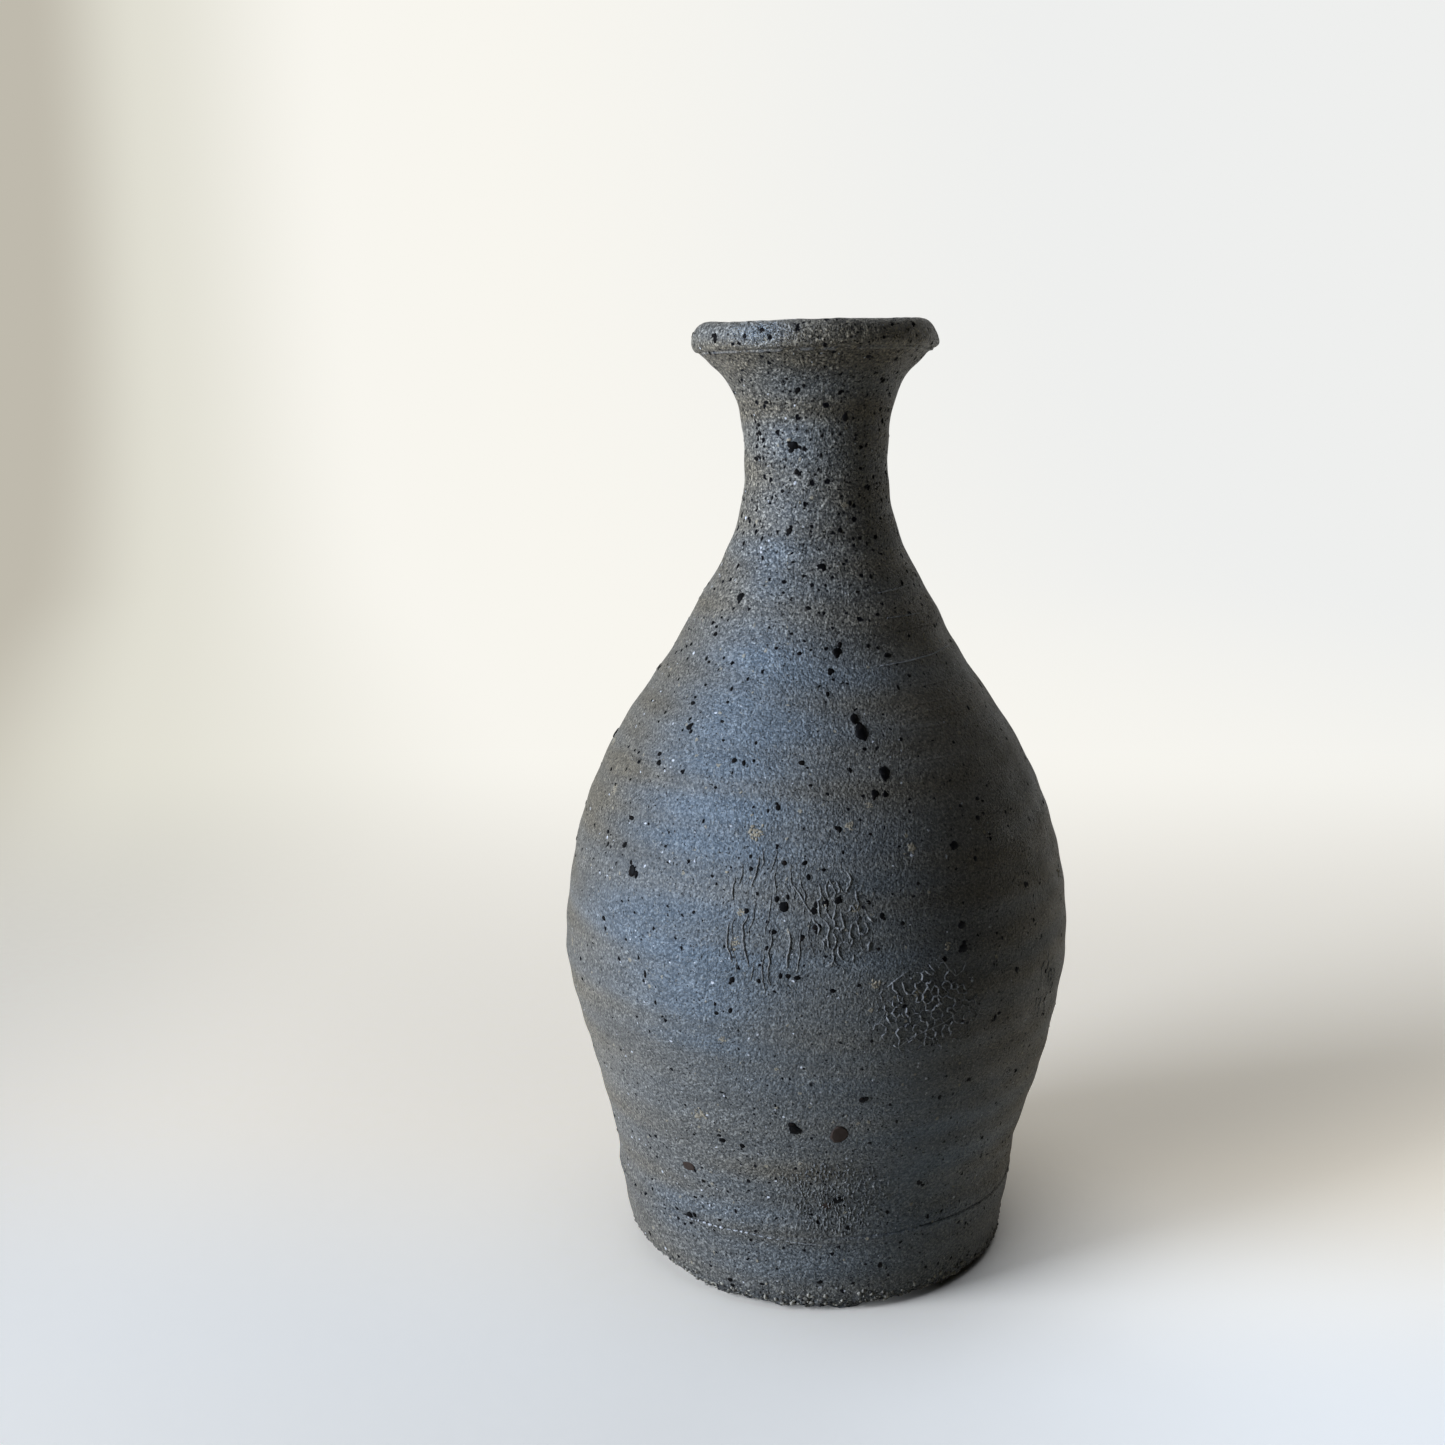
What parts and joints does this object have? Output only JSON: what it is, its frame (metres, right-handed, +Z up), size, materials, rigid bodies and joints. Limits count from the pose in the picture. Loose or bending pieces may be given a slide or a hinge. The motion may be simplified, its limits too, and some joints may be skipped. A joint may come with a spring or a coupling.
{
  "type": "bud vase",
  "caption": "Hand-thrown stoneware bud vase with a swelling belly, a narrow drawn-in neck, a rolled lip and a flat wire-cut foot, for a few cut stems in water.",
  "frame": {"origin": "middle of the flat underside of the foot", "axes": "+Z up along the vase's axis of turning; -Y faces the viewer of the picture"},
  "size_m": [0.0818, 0.0818, 0.15],
  "materials": {
    "stoneware": "matt dark grey, iron-speckled",
    "liner_glaze": "gloss dark glaze"
  },
  "bodies": {
    "root": {"foot": "stoneware", "body": "stoneware", "neck": "stoneware", "lip": "stoneware", "liner_glaze": "liner_glaze"}
  },
  "joints": []
}
